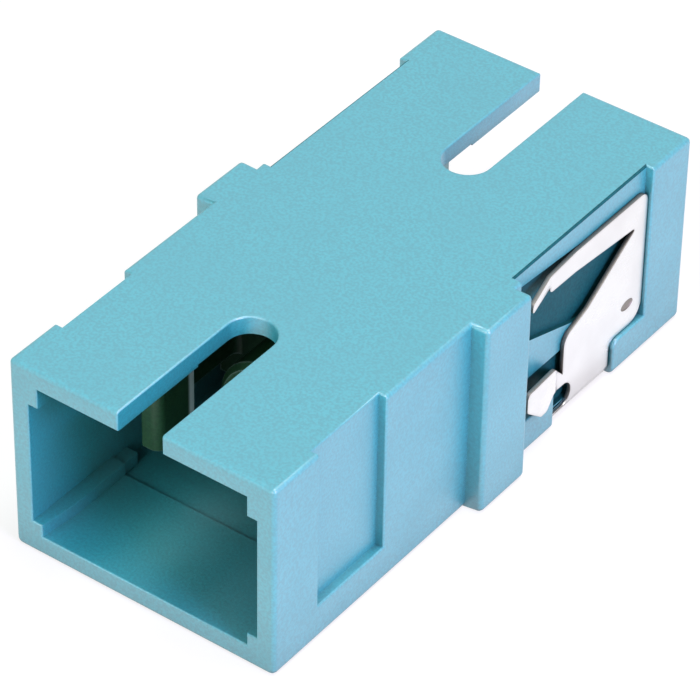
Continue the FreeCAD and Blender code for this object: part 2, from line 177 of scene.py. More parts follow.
def effect_group(
    name: str, inputs: dict[str, float], *outputs: str
) -> tuple[Wiring, bpy.types.Node, bpy.types.Node]:
    """Start a shader node group with a Vector input and number inputs and outputs.

    Args:
        name: Name of the group.
        inputs: Input name to its default.
        outputs: Names of the outputs.

    Returns:
        The group's wiring, its input node and its output node.
    """
    tree = bpy.data.node_groups.new(name, "ShaderNodeTree")
    wiring = Wiring(tree)
    tree.interface.new_socket("Vector", in_out="INPUT", socket_type="NodeSocketVector")
    for label, default in inputs.items():
        socket = tree.interface.new_socket(label, in_out="INPUT", socket_type="NodeSocketFloat")
        socket.default_value = default
    for label in outputs:
        tree.interface.new_socket(label, in_out="OUTPUT", socket_type="NodeSocketFloat")
    return wiring, wiring.add("GroupInput"), wiring.add("GroupOutput")


CLOUD_BAND = (0.3, 0.7)
EDGE_BAND = (0.01, 0.22)
BROAD_SCALE = 0.31


class Effect(Enum):
    """Shader effects that more than one finish uses."""

    GRAIN = "fine_grain"
    MOTTLE = "soft_mottle"
    EDGE = "edge_light"
    CREVICE = "crevice_shade"

    def tree(self) -> bpy.types.NodeTree:
        """The effect's node group, built the first time that it is asked for."""
        found = bpy.data.node_groups.get(self.value)
        if found:
            return found
        builders = {
            Effect.GRAIN: build_grain,
            Effect.MOTTLE: build_mottle,
            Effect.EDGE: build_edge,
            Effect.CREVICE: build_crevice,
        }
        builders[self](self.value)
        return bpy.data.node_groups[self.value]


def build_grain(name: str) -> None:
    """Fine spark-eroded grain: two octaves of noise as a height in metres."""
    wiring, source, sink = effect_group(name, {"Size": 0.1 * MM, "Depth": 0.001 * MM}, "Height")
    place = source.outputs["Vector"]
    scale = wiring.maths("DIVIDE", 1.0, source.outputs["Size"])
    fine = wiring.add("TexNoise", Vector=place, Scale=scale, Detail=3.0, Roughness=0.65)
    wide = wiring.times(scale, BROAD_SCALE)
    broad = wiring.add("TexNoise", Vector=place, Scale=wide, Detail=2.0, Roughness=0.5)
    both = wiring.maths("ADD", fine.outputs["Fac"], broad.outputs["Fac"])
    wiring.tree.links.new(wiring.times(both, source.outputs["Depth"]), sink.inputs["Height"])


def build_mottle(name: str) -> None:
    """Soft cloudy mask and fine speckle mask, both about one half on average."""
    sizes = {"Cloud Size": 3.0 * MM, "Speckle Size": 0.2 * MM}
    wiring, source, sink = effect_group(name, sizes, "Clouds", "Speckle")
    for label, size, detail in (("Clouds", "Cloud Size", 3.0), ("Speckle", "Speckle Size", 1.0)):
        scale = wiring.maths("DIVIDE", 1.0, source.outputs[size])
        noise = wiring.add("TexNoise", Vector=source.outputs["Vector"], Scale=scale, Detail=detail)
        wiring.tree.links.new(wiring.band(noise.outputs["Fac"], *CLOUD_BAND), sink.inputs[label])


def build_edge(name: str) -> None:
    """Mask that rises towards convex and concave edges within a radius."""
    wiring, source, sink = effect_group(name, {"Radius": 0.1 * MM}, "Mask")
    rounded = wiring.add("Bevel", {"samples": 4}, Radius=source.outputs["Radius"])
    true = wiring.add("NewGeometry")
    facing = wiring.vector("DOT_PRODUCT", rounded.outputs["Normal"], true.outputs["Normal"])
    bend = wiring.maths("SUBTRACT", 1.0, facing.outputs["Value"])
    wiring.tree.links.new(wiring.band(bend, *EDGE_BAND), sink.inputs["Mask"])


def build_crevice(name: str) -> None:
    """Mask that rises in gaps and inner corners, where other surfaces stand close by."""
    inputs = {"Reach": 1.3 * MM, "Start": 0.08, "Full": 0.6}
    wiring, source, sink = effect_group(name, inputs, "Mask")
    near = wiring.add("AmbientOcclusion", {"samples": 4}, Distance=source.outputs["Reach"])
    shut = wiring.maths("SUBTRACT", 1.0, near.outputs["AO"])
    mask = wiring.band(shut, source.outputs["Start"], source.outputs["Full"])
    wiring.tree.links.new(mask, sink.inputs["Mask"])


def use(wiring: Wiring, effect: Effect, **inputs: object) -> bpy.types.Node:
    """Place an effect in a material."""
    return wiring.add("Group", {"node_tree": effect.tree()}, **inputs)


def new_material(name: str) -> tuple[bpy.types.Material, Wiring]:
    """Empty node material and its wiring."""
    material = bpy.data.materials.new(name)
    material.use_nodes = True
    return material, Wiring(material.node_tree)


@dataclass(frozen=True)
class MouldedPlastic:
    """Satin moulded plastic: spark-eroded grain, faint clouds, painted highlight on its edges, painted
    shade where shut in.
    """

    name: str
    colour: Rgb
    shade: Rgb
    # Paler colour that edges are mixed towards: a painted highlight.
    edge: Rgb
    roughness: float = 0.42
    roughness_spread: float = 0.08
    tint: Rgb = (1.0, 0.94, 1.0)
    # Multipliers for painted shade: one for crevices, one for deep hollows such as the ports, with the
    # hollows' reach and band.
    painted_crevice_shade: Rgb = (0.05, 0.22, 0.3)
    hollow_shade: Rgb = (0.15, 0.2, 0.18)
    hollow_shade_reach: float = 9.0 * MM
    hollow_shade_band: Pair = (0.45, 0.92)
    cloud_share: float = 0.3
    grain_size: float = 0.12 * MM
    grain_depth: float = 0.007 * MM
    edge_radius: float = 0.12 * MM
    edge_share: float = 0.2
    specular: float = 0.5
    ior: float = 1.5
    coat: float = 0.0
    # How strongly crevices take painted shade in colour, and how much coat they and the hollows lose to it.
    crevice_share: float = 0.12
    crevice_coat_loss: float = 1.0
    speckle_size: float = 0.12 * MM
    speckle_share: float = 0.8
    # Optional pale colour for a stretch along Y at the latches' catches: a painted highlight.
    catch_highlight: Rgb | None = None
    highlight_start: float = 7.15 * MM
    highlight_end: float = 6.85 * MM
    highlight_fade: float = 0.2 * MM

    def material(self) -> bpy.types.Material:
        """Build the node material.

        Returns:
            The material, reading Object coordinates.
        """
        material, wiring = new_material(self.name)
        place = wiring.add("TexCoord").outputs["Object"]
        mottle = use(wiring, Effect.MOTTLE, Vector=place, Speckle_Size=self.speckle_size)
        edge = use(wiring, Effect.EDGE, Vector=place, Radius=self.edge_radius)
        grain = use(wiring, Effect.GRAIN, Vector=place, Size=self.grain_size, Depth=self.grain_depth)
        clouds = wiring.times(mottle.outputs["Clouds"], self.cloud_share)
        clouded = wiring.mix(clouds, self.colour, self.shade)
        speckle = wiring.times(mottle.outputs["Speckle"], self.speckle_share)
        speckled = wiring.mix(speckle, clouded, self.shade)
        # Painted highlight: the colour turns paler towards edges.
        near_edge = wiring.times(edge.outputs["Mask"], self.edge_share)
        lit = wiring.mix(near_edge, speckled, self.edge)
        # Painted shade: darker in crevices and in deep hollows, where ambient occlusion finds other
        # surfaces close by.
        crevice = use(wiring, Effect.CREVICE, Vector=place)
        start, full = self.hollow_shade_band
        hollow_shade = use(wiring, Effect.CREVICE, Vector=place, Reach=self.hollow_shade_reach, Start=start, Full=full)
        painted_crevice_shade = wiring.mix(1.0, lit, self.painted_crevice_shade, "MULTIPLY")
        creased = wiring.times(crevice.outputs["Mask"], self.crevice_share)
        cornered = wiring.mix(creased, lit, painted_crevice_shade)
        shut_in = wiring.mix(1.0, cornered, self.hollow_shade, "MULTIPLY")
        colour = wiring.mix(hollow_shade.outputs["Mask"], cornered, shut_in)
        # Painted highlight: a pale stretch at the latches' catches.
        if self.catch_highlight:
            colour = wiring.mix(self.catch_highlight_share(wiring, place), colour, self.catch_highlight)
        uneven = wiring.times(mottle.outputs["Clouds"], self.roughness_spread)
        bump = wiring.add("Bump", Height=grain.outputs["Height"], Strength=1.0, Distance=1.0)
        # Painted shade: less coat in crevices and hollows.
        shut = wiring.maths("MAXIMUM", crevice.outputs["Mask"], hollow_shade.outputs["Mask"])
        coat_lost = wiring.times(shut, self.crevice_coat_loss)
        shader = wiring.add(
            "BsdfPrincipled",
            Base_Color=colour,
            Roughness=wiring.maths("ADD", uneven, self.roughness),
            Normal=bump.outputs["Normal"],
            IOR=self.ior,
            Specular_IOR_Level=self.specular,
            Specular_Tint=self.tint,
            Coat_Weight=wiring.maths("SUBTRACT", self.coat, coat_lost) if self.coat else 0.0,
            Coat_Roughness=self.roughness,
        )
        wiring.add("OutputMaterial", Surface=shader.outputs["BSDF"])
        return material

    def catch_highlight_share(self, wiring: Wiring, place: Socket) -> Socket:
        """Mask of the pale stretch at the latches' catches: a painted highlight."""
        along = wiring.maths("ABSOLUTE", wiring.add("SeparateXYZ", Vector=place).outputs["Y"])
        ahead = wiring.band(along, self.highlight_start + self.highlight_fade, self.highlight_start)
        behind = wiring.band(along, self.highlight_end - self.highlight_fade, self.highlight_end)
        return wiring.times(ahead, behind)


@dataclass(frozen=True)
class SpringSteel:
    """Bright stainless sheet with rolling lines along Y, and painted shade at its edges, in gaps and
    towards the bottom.
    """

    name: str
    colour: Rgb
    shade: Rgb
    roughness: float = 0.24
    roughness_spread: float = 0.05
    # Multiplier for painted shade in gaps and towards the bottom.
    steel_shade_tint: Rgb = (0.35, 0.33, 0.33)
    line_width: float = 0.03 * MM
    line_stretch: float = 40.0
    line_depth: float = 0.0006 * MM
    cloud_size: float = 2.4 * MM
    cloud_share: float = 0.25
    gap_reach: float = 0.5 * MM
    # Reach and strength of the painted shade along the sheet's edges.
    edge_shade_radius: float = 0.22 * MM
    edge_shade_share: float = 0.9
    # Painted shade that grows from the first height down to the second, up to the share.
    low_shade_start: float = -2.4 * MM
    low_shade_end: float = -4.3 * MM
    low_shade_share: float = 0.38

    def material(self) -> bpy.types.Material:
        """Build the node material.

        Returns:
            The material, reading Object coordinates.
        """
        material, wiring = new_material(self.name)
        place = wiring.add("TexCoord").outputs["Object"]
        across = 1.0 / self.line_width
        scale = (across, across / self.line_stretch, across)
        stretched = wiring.vector("MULTIPLY", place, scale).outputs["Vector"]
        lines = wiring.add("TexNoise", Vector=stretched, Scale=1.0, Detail=2.0).outputs["Fac"]
        mottle = use(wiring, Effect.MOTTLE, Vector=place, Cloud_Size=self.cloud_size)
        edge = use(wiring, Effect.EDGE, Vector=place, Radius=self.edge_shade_radius)
        crevice = use(wiring, Effect.CREVICE, Vector=place, Reach=self.gap_reach)
        clouds = wiring.times(mottle.outputs["Clouds"], self.cloud_share)
        clouded = wiring.mix(clouds, self.colour, self.shade)
        # Painted shade: darker towards the sheet's edges.
        near_edge = wiring.times(edge.outputs["Mask"], self.edge_shade_share)
        edge_shaded = wiring.mix(near_edge, clouded, self.shade)
        steel_shade_tint = wiring.mix(1.0, edge_shaded, self.steel_shade_tint, "MULTIPLY")
        # Painted shade: darker in gaps and towards the bottom.
        height_up = wiring.add("SeparateXYZ", Vector=place).outputs["Z"]
        towards_bottom = wiring.band(height_up, self.low_shade_start, self.low_shade_end)
        low_shade = wiring.times(towards_bottom, self.low_shade_share)
        colour = wiring.mix(wiring.maths("MAXIMUM", crevice.outputs["Mask"], low_shade), edge_shaded, steel_shade_tint)
        height = wiring.times(lines, self.line_depth)
        bump = wiring.add("Bump", Height=height, Strength=1.0, Distance=1.0)
        uneven = wiring.maths("ADD", lines, mottle.outputs["Clouds"])
        worn = wiring.times(uneven, self.roughness_spread)
        shader = wiring.add(
            "BsdfPrincipled",
            Base_Color=colour,
            Metallic=1.0,
            Roughness=wiring.maths("ADD", worn, self.roughness),
            Normal=bump.outputs["Normal"],
        )
        wiring.add("OutputMaterial", Surface=shader.outputs["BSDF"])
        return material


class Plane(Enum):
    """Planes that outlines are drawn in: the axes of the outline, then the axis that it is run along."""

    LEVEL = (0, 1, 2)
    FACING = (0, 2, 1)
    SIDEWAYS = (1, 2, 0)

    def point(self, first: float, second: float, run: float) -> Vector:
        """Place of an outline's point.

        Args:
            first: Place along the outline's first axis, in millimetres.
            second: Place along its second axis.
            run: Place along the axis square to the outline.

        Returns:
            The point in metres.
        """
        place = Vector((0.0, 0.0, 0.0))
        for axis, value in zip(self.value, (first, second, run)):
            place[axis] = value * MM
        return place


def select_only(piece: Piece) -> None:
    """Make a piece the only selected one and the active one."""
    bpy.ops.object.select_all(action="DESELECT")
    piece.select_set(True)
    bpy.context.view_layer.objects.active = piece


def select_where(piece: Piece, mode: str, test: Callable[[object], bool]) -> None:
    """Enter edit mode with only the vertices, edges or faces selected that pass a test.

    Args:
        piece: The piece to edit, in object mode.
        mode: VERT, EDGE or FACE.
        test: Called with each vertex, edge or face of the mesh.
    """
    select_only(piece)
    bpy.ops.object.mode_set(mode="EDIT")
    bpy.ops.mesh.select_mode(type=mode)
    bpy.ops.mesh.select_all(action="DESELECT")
    bpy.ops.object.mode_set(mode="OBJECT")
    mesh = piece.data
    parts = {"VERT": mesh.vertices, "EDGE": mesh.edges, "FACE": mesh.polygons}[mode]
    for part in parts:
        part.select = test(part)
    bpy.ops.object.mode_set(mode="EDIT")


def named(name: str) -> Piece:
    """Name and settle the object that an operator has just added."""
    piece = bpy.context.object
    piece.name = name
    return settle(piece)


def settle(piece: Piece) -> Piece:
    """Merge doubles, turn faces outwards and round places off, so that level faces stay level."""
    select_only(piece)
    bpy.ops.object.transform_apply(location=True, rotation=True, scale=True)
    bpy.ops.object.mode_set(mode="EDIT")
    bpy.ops.mesh.select_all(action="SELECT")
    bpy.ops.mesh.remove_doubles(threshold=WELD)
    bpy.ops.mesh.normals_make_consistent(inside=False)
    bpy.ops.object.mode_set(mode="OBJECT")
    for vertex in piece.data.vertices:
        vertex.co = [round(value, SNAP_DIGITS) for value in vertex.co]
    return piece


def add_block(name: str, low: Corner, high: Corner) -> Piece:
    """Box between two corners in millimetres."""
    middle = [(a + b) / 2 * MM for a, b in zip(low, high)]
    size = [(b - a) * MM for a, b in zip(low, high)]
    bpy.ops.mesh.primitive_cube_add(size=1, location=middle, scale=size)
    return named(name)


def add_rod(name: str, radius: float, y_start: float, y_end: float, steps: int = 96) -> Piece:
    """Cylinder on the optical axis, its sizes in millimetres."""
    bpy.ops.mesh.primitive_cylinder_add(
        vertices=steps,
        radius=radius * MM,
        depth=(y_end - y_start) * MM,
        location=(0, (y_start + y_end) / 2 * MM, 0),
        rotation=(math.radians(90), 0, 0),
    )
    return named(name)


def add_prism(name: str, corners: list[Corner], plane: Plane, start: float, end: float) -> Piece:
    """Solid of an outline: its corners are walked by extrusion, rounded, filled and run along.

    Args:
        name: Name of the piece.
        corners: Corners (first, second, radius) in millimetres; radius 0 stays sharp.
        plane: Plane of the outline.
        start: Where the solid starts along the plane's third axis.
        end: Where it ends.

    Returns:
        The closed solid.
    """
    points = [plane.point(a, b, start) for a, b, _ in corners]
    bpy.ops.mesh.primitive_plane_add(size=MM, location=(0, 0, 0))
    piece = bpy.context.object
    piece.name = name
    bpy.ops.object.mode_set(mode="EDIT")
    bpy.ops.mesh.select_mode(type="VERT")
    bpy.ops.mesh.select_all(action="SELECT")
    bpy.ops.mesh.merge(type="CENTER")
    bpy.ops.transform.translate(value=points[0])
    for here, following in zip(points, points[1:]):
        bpy.ops.mesh.extrude_vertices_move(TRANSFORM_OT_translate={"value": following - here})
    bpy.ops.mesh.select_all(action="SELECT")
    bpy.ops.mesh.edge_face_add()
    bpy.ops.object.mode_set(mode="OBJECT")
    for index, (_, _, radius) in enumerate(corners):
        if radius > 0:
            round_corner(piece, points, index, radius)
    select_where(piece, "FACE", lambda face: True)
    bpy.ops.mesh.extrude_region_move(TRANSFORM_OT_translate={"value": plane.point(0, 0, end - start)})
    bpy.ops.object.mode_set(mode="OBJECT")
    return settle(piece)


def round_corner(piece: Piece, points: list[Vector], index: int, radius: float) -> None:
    """Round one corner of a flat outline by a vertex bevel.

    Args:
        piece: The flat outline.
        points: Its sharp corners in order.
        index: Which corner to round.
        radius: Radius in millimetres.
    """
    here = points[index]
    back = points[index - 1] - here
    ahead = points[(index + 1) % len(points)] - here
    opening = back.angle(ahead)
    steps = max(2, math.ceil((math.pi - opening) / math.radians(ROUND_STEP)))
    select_where(piece, "VERT", lambda vertex: (vertex.co - here).length < WELD)
    reach = radius * MM / math.tan(opening / 2)
    bpy.ops.mesh.bevel(offset=reach, segments=steps, affect="VERTICES", clamp_overlap=False)
    bpy.ops.object.mode_set(mode="OBJECT")


def combine(piece: Piece, how: str, *others: Piece) -> Piece:
    """Join, cut or intersect a piece with others, which are used up.

    Args:
        piece: The piece that stays.
        how: UNION, DIFFERENCE or INTERSECT.
        others: The pieces that shape it.

    Returns:
        The piece.
    """
    for other in others:
        modifier = piece.modifiers.new("combine", "BOOLEAN")
        modifier.operation = how
        modifier.solver = "EXACT"
        modifier.object = other
        select_only(piece)
        bpy.ops.object.modifier_apply(modifier=modifier.name)
        bpy.data.objects.remove(other, do_unlink=True)
    return settle(piece)


def mirrored(piece: Piece) -> Piece:
    """Copy with its own mesh, mirrored to the other side of the optical axis."""
    return turned_copy(piece, Matrix.Scale(-1, 4, Vector((1, 0, 0))))


def reversed_copy(piece: Piece) -> Piece:
    """Copy with its own mesh, turned half round about the vertical axis for the rear port."""
    return turned_copy(piece, Matrix.Rotation(math.pi, 4, "Z"))


def turned_copy(piece: Piece, move: Matrix) -> Piece:
    """Copy with its own mesh, moved by a matrix."""
    copy = piece.copy()
    copy.data = piece.data.copy()
    bpy.context.scene.collection.objects.link(copy)
    copy.matrix_world = move
    return settle(copy)


def soften(
    piece: Piece,
    width: float = 0.0,
    steps: int = 1,
    share: Callable[[bmesh.types.BMEdge], float] = lambda edge: 0.0,
) -> None:
    """Bevel the convex edges that a rule picks, then shade by angle with level faces kept level.

    Args:
        piece: The finished solid.
        width: Bevel width in millimetres where the rule gives 1, 0 for no bevel.
        steps: Segments across the bevel.
        share: Gives each sharp convex edge its share of the width, 0 to leave it sharp.
    """
    mesh = bmesh.new()
    mesh.from_mesh(piece.data)
    level = math.radians(LEVEL_ANGLE)
    bmesh.ops.dissolve_limit(mesh, angle_limit=level, verts=mesh.verts, edges=mesh.edges)
    weight = mesh.edges.layers.float.new("bevel_weight_edge")
    for edge in mesh.edges:
        sharp = edge.is_manifold and edge.calc_face_angle_signed() > math.radians(SHARP_ANGLE)
        edge[weight] = share(edge) if sharp else 0.0
    mesh.to_mesh(piece.data)
    mesh.free()
    select_only(piece)
    if width:
        bevel = piece.modifiers.new("bevel", "BEVEL")
        bevel.width = width * MM
        bevel.segments = steps
        bevel.limit_method = "WEIGHT"
        bevel.use_clamp_overlap = False
        bpy.ops.object.modifier_apply(modifier=bevel.name)
    bpy.ops.object.shade_smooth_by_angle(angle=math.radians(SMOOTH_ANGLE))
    shading = piece.modifiers.new("level", "WEIGHTED_NORMAL")
    shading.keep_sharp = True
    bpy.ops.object.modifier_apply(modifier=shading.name)


def rectangle(half_width: float, low: float, high: float, radius: float) -> list[Corner]:
    """Corners of a rectangle centred across its first axis."""
    places = ((-half_width, low), (half_width, low), (half_width, high), (-half_width, high))
    return [(*place, radius) for place in places]


def railed_outline(half: Pair, upper_rail: Pair, lower_rail: Pair) -> list[Corner]:
    """Section of a space with a rail in each corner.

    Args:
        half: Half the width and half the height between the walls.
        upper_rail: Width and height of each upper rail.
        lower_rail: Width and height of each lower rail.

    Returns:
        Its corners, from the lower right one round.
    """
    wide, high = half
    upper_side, upper_level = wide - upper_rail[0], high - upper_rail[1]
    lower_side, lower_level = wide - lower_rail[0], lower_rail[1] - high
    right = [(lower_side, -high, 0), (lower_side, lower_level, 0), (wide, lower_level, 0)]
    right += [(wide, upper_level, 0), (upper_side, upper_level, 0), (upper_side, high, 0)]
    return right + [(-across, up, radius) for across, up, radius in reversed(right)]


@dataclass
class Housing:
    """Moulded housing: body, collar, two ports with keyways, side recesses and strap channel."""

    length: float
    height: float
    collar_width: float
    name: str = "moulded_housing"
    width: float = 12.8
    collar_length: float = 3.0
    bottom_radius: float = 0.3
    edge_radius: float = 0.2
    rim_radius: float = 0.09
    port_width: float = 11.04
    port_height: float = 7.44
    mouth_depth: float = 4.9
    rail_length: float = 5.8
    upper_rail: Pair = (0.47, 0.95)
    lower_rail: Pair = (0.67, 0.6)
    rail_lead: Pair = (0.2, 1.8)
    chamber_relief: float = 0.1
    web: float = 2.0
    window: Corner = (8.0, 5.0, 0.5)
    keyway_width: float = 2.15
    keyway_length: float = 7.85
    recess_depth: float = 0.39
    sill_height: float = 1.7
    end_band: float = 2.75
    front_recess_length: float = 4.2
    collar_band: float = 0.4
    channel: Pair = (4.65, 8.95)
    channel_depth: float = 0.25
    channel_radius: float = 0.32
    channel_lip_radius: float = 0.4
    clip_drop: float = 1.1
    relief_depth: float = 0.22
    relief_end: float = 6.3
    finger_relief_height: float = 1.68
    notch_relief_rise: float = 0.6
    spring_relief_rise: float = 0.35
    spring_relief_fall: float = 2.45
    spring_relief_foot: Pair = (7.1, 4.15)
    spring_relief_rear: Pair = (0.45, 2.06)
    shade_rise: float = 0.45

    @property
    def end(self) -> float:
        """Distance from the middle to a port face."""
        return self.length / 2

    @property
    def top(self) -> float:
        """Height of the top face above the optical axis."""
        return self.height / 2

    @property
    def sill(self) -> float:
        """Height of the recesses' lower edge."""
        return self.sill_height - self.top

    @property
    def recess_floor(self) -> float:
        """Distance from the middle to the floor of a side recess."""
        return self.width / 2 - self.recess_depth

    @property
    def relief_floor(self) -> float:
        """Distance from the middle to the floor of the reliefs behind the clip."""
        return self.recess_floor - self.relief_depth

    @property
    def collar_rear(self) -> float:
        """Distance from the middle to the collar's rear face."""
        return self.collar_length / 2

    @property
    def clip_start(self) -> float:
        """Where the recess for the clip starts behind the collar."""
        return self.collar_rear + self.collar_band

    def build(self) -> Piece:
        """Shape the housing.

        Returns:
            The finished piece.
        """
        piece = self.bar(self.name, self.width, self.length)
        combine(piece, "UNION", self.bar("collar", self.collar_width, self.collar_length))
        port = self.port_space()
        keyway = self.keyway_space()
        cutters = [port, reversed_copy(port), keyway, reversed_copy(keyway)]
        front = self.end_band - self.end
        sides = [self.side_recess(front, front + self.front_recess_length)]
        sides += [self.side_recess(self.clip_start, self.end - self.end_band)]
        sides += [self.spring_relief(), self.finger_relief(), self.notch_relief()]
        for side in sides:
            cutters += [side, mirrored(side)]
        across, high, radius = self.window
        outline = rectangle(across / 2, -high / 2, high / 2, radius)
        window = add_prism("window", outline, Plane.FACING, -self.web, self.web)
        combine(piece, "DIFFERENCE", *cutters, window, self.strap_channel())
        soften(piece, self.edge_radius, 3, self.edge_share)
        return piece

    def bar(self, name: str, width: float, length: float) -> Piece:
        """Full-height block about the origin whose long bottom edges are rounded."""
        low = [(-width / 2, -self.top, self.bottom_radius), (width / 2, -self.top, self.bottom_radius)]
        corners = low + [(width / 2, self.top, 0), (-width / 2, self.top, 0)]
        return add_prism(name, corners, Plane.FACING, -length / 2, length / 2)

    def port_section(self, grown: float) -> list[Corner]:
        """Section of a port between its corner rails, grown all round."""
        half = (self.port_width / 2 + grown, self.port_height / 2 + grown)
        return railed_outline(half, self.upper_rail, self.lower_rail)

    def port_space(self) -> Piece:
        """Space inside the front port, from outside the face to the web."""
        mouth_end = self.mouth_depth - self.end
        rail_end = self.rail_length - self.end
        high = self.port_height / 2 + self.chamber_relief
        space = add_prism("port", self.port_section(0), Plane.FACING, -self.length, mouth_end + OVERLAP)
        section = self.port_section(self.chamber_relief)
        throat = add_prism("throat", section, Plane.FACING, mouth_end, rail_end + OVERLAP)
        side = self.port_width / 2
        kept = add_block("kept", (-side, -self.end, -high), (side, 0, high))
        combine(throat, "INTERSECT", kept)
        chamber = add_block("chamber", (-side, rail_end, -high), (side, -self.web / 2, high))
        lead = self.rail_lead_in()
        return combine(space, "UNION", throat, chamber, lead, mirrored(lead))

    def rail_lead_in(self) -> Piece:
        """Wedge off the front end of the right-hand lower rail."""
        width, length = self.rail_lead
        face = self.port_width / 2 - self.lower_rail[0]
        outline = [
            (face - width, -self.length, 0),
            (face + width, -self.length, 0),
            (face + width, -self.end, 0),
            (face, length - self.end, 0),
            (face - width, length - self.end, 0),
        ]
        floor = -self.port_height / 2
        return add_prism("lead_in", outline, Plane.LEVEL, floor, floor + self.lower_rail[1])

    def keyway_space(self) -> Piece:
        """Round-ended slot through the top wall, open at the front face."""
        half = self.keyway_width / 2
        tip = self.keyway_length - self.end
        outline = [(-half, -self.length, 0), (half, -self.length, 0), (half, tip, half), (-half, tip, half)]
        return add_prism("keyway", outline, Plane.LEVEL, 0, self.height)

    def side_recess(self, start: float, end: float) -> Piece:
        """Space of a recess in the right-hand side, from its sill up past the top."""
        low = (self.recess_floor, start, self.sill)
        return add_block("recess", low, (self.collar_width, end, self.length))

    def spring_relief(self) -> Piece:
        """Pocket in the right-hand recess floor behind the clip's spring, run in under its plate."""
        clip_top = self.top - self.clip_drop
        foot_end, foot_fall = self.spring_relief_foot
        setback, rear_fall = self.spring_relief_rear
        end = self.end - self.end_band - setback
        outline = [
            (self.clip_start, clip_top + self.spring_relief_rise, 0),
            (self.clip_start, clip_top - self.spring_relief_fall, 0),
            (foot_end, clip_top - foot_fall, 0),
            (end, clip_top - rear_fall, 0),
            (end, clip_top - self.spring_relief_rise, 0),
        ]
        return add_prism("spring_relief", outline, Plane.SIDEWAYS, self.relief_floor, self.width)

    def finger_relief(self) -> Piece:
        """Pocket in the right-hand recess floor behind the clip's finger, run in under its plate."""
        low = (self.relief_floor, self.clip_start, self.sill)
        high = (self.width, self.relief_end, self.sill + self.finger_relief_height)
        return add_block("finger_relief", low, high)

    def notch_relief(self) -> Piece:
        """Pocket behind the clip's notch, from the finger's pocket down into the strap's channel."""
        low = (self.relief_floor, self.channel[0], self.notch_relief_rise - self.top)
        return add_block("notch_relief", low, (self.width, self.relief_end, self.sill + OVERLAP))

    def strap_channel(self) -> Piece:
        """Channel for the clip's strap, under the housing and up both sides."""
        start, end = self.channel
        foot = self.sill + FOOT_GAP
        side_view = [
            (start, -self.height, 0),
            (end, -self.height, 0),
            (end, self.sill, self.channel_lip_radius),
            (end + 2 * SPARE, self.sill, 0),
            (end + 2 * SPARE, foot, 0),
            (start, foot, 0),
        ]
        floor = -self.top + self.channel_depth
        side = self.recess_floor
        core = [(-side, floor, self.channel_radius), (side, floor, self.channel_radius)]
        core += [(side, self.top, 0), (-side, self.top, 0)]
        channel = add_prism("channel", side_view, Plane.SIDEWAYS, -self.collar_width, self.collar_width)
        core_bar = add_prism("core", core, Plane.FACING, start - 2 * SPARE, end + 4 * SPARE)
        return combine(channel, "DIFFERENCE", core_bar)

    def edge_share(self, edge: bmesh.types.BMEdge) -> float:
        """Full bevel on the outer edges, a smaller one on rims that meet an outer face, none inside."""
        outer = [self.is_outer(face) for face in edge.link_faces]
        return 1.0 if all(outer) else self.rim_radius / self.edge_radius if any(outer) else 0.0

    def is_outer(self, face: bmesh.types.BMFace) -> bool:
        """Whether a face lies on the outside of the body or the collar."""
        middle = face.calc_center_median() / MM
        normal = face.normal
        low_round = abs(normal.y) < UPRIGHT and middle.z < self.bottom_radius - self.top
        levels = ((self.width / 2, self.collar_width / 2), (self.end, self.collar_rear), (self.top,))
        near = [
            any(abs(abs(value) - level) < NEAR for level in heights)
            for value, heights in zip(middle, levels)
        ]
        return low_round or any(abs(turn) > SQUARE and close for turn, close in zip(normal, near))

    def is_behind_clip(self, face: bpy.types.MeshPolygon) -> bool:
        """Whether a face lies in a relief or in the strap's channel behind the clip's notch."""
        across, along, up = (value / MM for value in face.center)
        sunk = self.relief_floor - NEAR < abs(across) < self.recess_floor - NEAR
        in_recess = self.clip_start < along < self.end - self.end_band
        return sunk and in_recess and up > self.shade_rise - self.top


@dataclass
class SplitSleeve:
    """Ground ceramic sleeve with a lengthwise slit along its top."""

    length: float
    radius: float
    name: str = "ceramic_sleeve"
    wall: float = 0.35
    slit: float = 0.4
    chamfer: float = 0.12
    steps: int = 72

    def build(self) -> Piece:
        """Spin the wall's section round the optical axis from one side of the slit to the other.

        Returns:
            The finished piece.
        """
        middle = self.radius - self.wall / 2
        bpy.ops.mesh.primitive_plane_add(size=1, location=(middle * MM, 0, 0))
        bpy.context.object.scale = (self.wall * MM, self.length * MM, 1)
        piece = named(self.name)
        select_where(piece, "VERT", lambda vertex: True)
        cut_back = self.chamfer * MM
        bpy.ops.mesh.bevel(offset=cut_back, segments=1, affect="VERTICES", clamp_overlap=False)
        opening = 2 * math.asin(self.slit / 2 / middle)
        start = (math.pi + opening) / 2
        bpy.ops.mesh.select_all(action="SELECT")
        bpy.ops.transform.rotate(value=start, orient_axis="Y", center_override=(0, 0, 0))
        turn = 2 * math.pi - opening
        bpy.ops.mesh.spin(steps=self.steps, angle=turn, center=(0, 0, 0), axis=(0, 1, 0))
        bpy.ops.object.mode_set(mode="OBJECT")
        settle(piece)
        soften(piece)
        return piece


